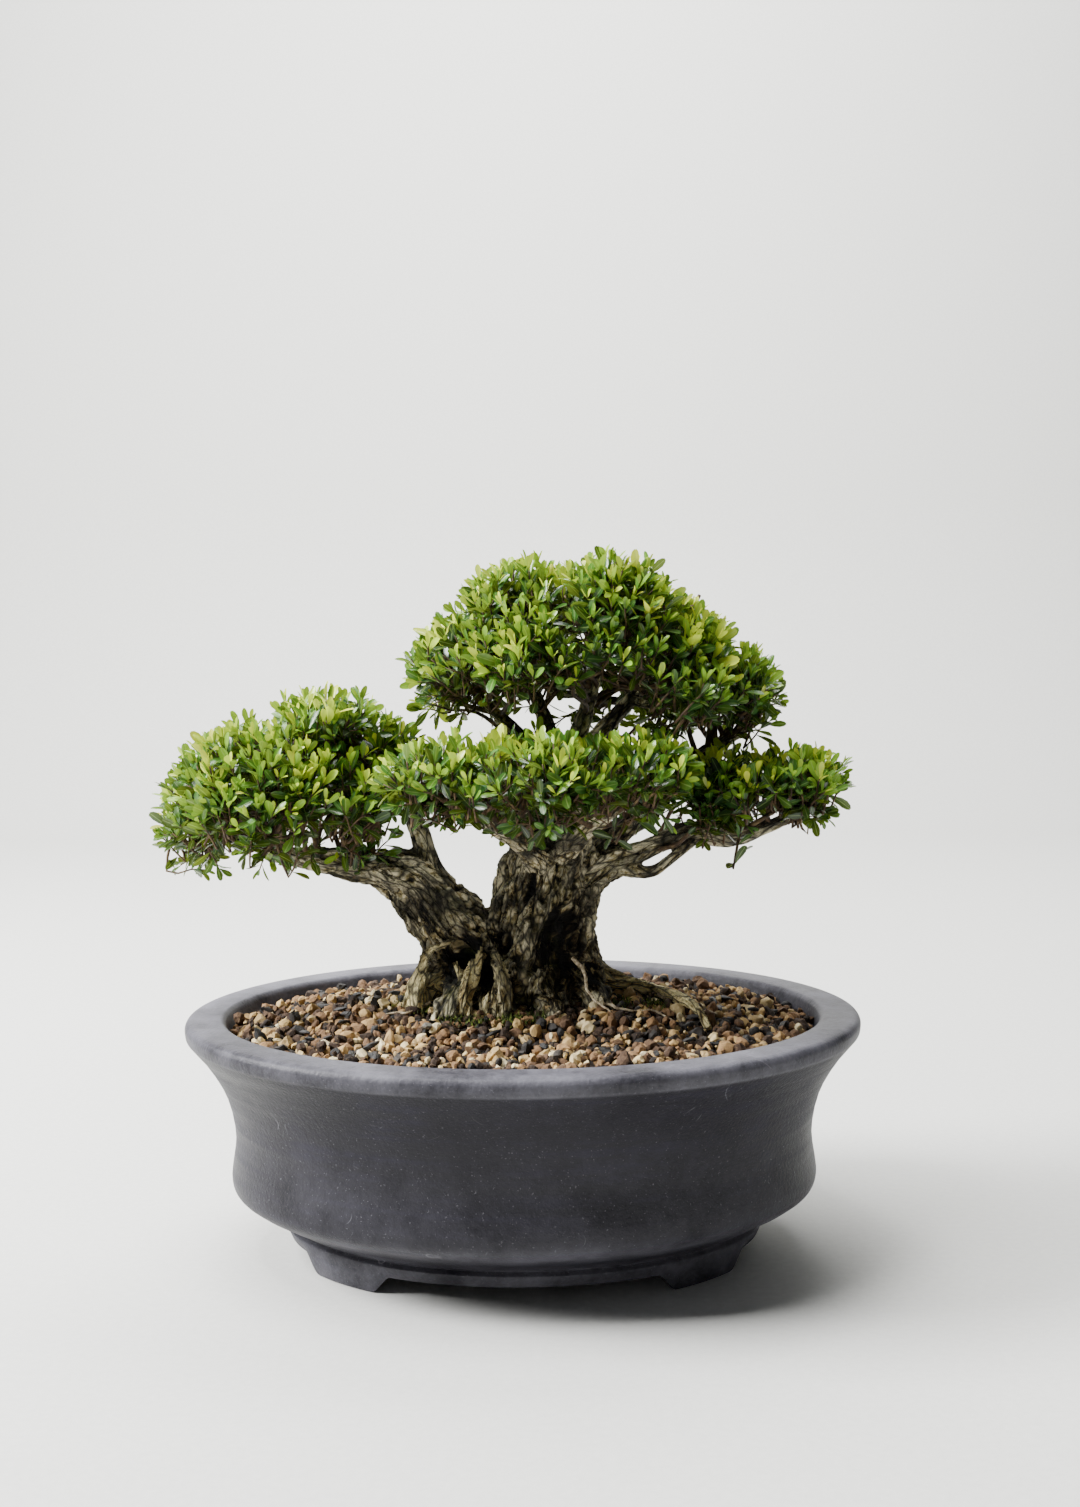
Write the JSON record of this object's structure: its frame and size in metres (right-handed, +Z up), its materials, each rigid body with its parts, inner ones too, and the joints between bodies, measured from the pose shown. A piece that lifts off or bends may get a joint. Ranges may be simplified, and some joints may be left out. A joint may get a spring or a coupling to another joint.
{
  "type": "boxwood bonsai in an oval pot",
  "caption": "Boxwood bonsai with a thick forked trunk, surface roots and leafy pads, growing in clay grains in an unglazed oval pot on four feet.",
  "frame": {"origin": "on the surface that the feet stand on, under the middle of the whole tree's bounding box", "axes": "+Z up the tree, +X to the right along the pot's long side, the front of the tree faces -Y"},
  "size_m": [0.3132, 0.24, 0.3107],
  "materials": {
    "stoneware": "matt unglazed",
    "soil": "loose fired clay, pumice and lava grains",
    "bark": "rough bark",
    "leaf": "satin leaf",
    "screen": "matt"
  },
  "bodies": {
    "root": {"pot": "stoneware", "drain_screen_left": "screen", "drain_screen_right": "screen", "soil": "soil", "wood": "bark", "crown_spray_1": "leaf", "crown_spray_2": "leaf", "crown_spray_3": "leaf", "crown_spray_4": "leaf", "crown_spray_5": "leaf", "crown_spray_6": "leaf", "crown_spray_7": "leaf", "crown_spray_8": "leaf", "crown_spray_9": "leaf", "crown_spray_10": "leaf", "left_spray_1": "leaf", "left_spray_2": "leaf", "left_spray_3": "leaf", "left_spray_4": "leaf", "left_spray_5": "leaf", "left_spray_6": "leaf", "left_spray_7": "leaf", "front_spray_1": "leaf", "front_spray_2": "leaf", "front_spray_3": "leaf", "front_spray_4": "leaf", "right_spray_1": "leaf", "right_spray_2": "leaf", "back_spray_1": "leaf", "back_spray_2": "leaf"}
  },
  "joints": []
}
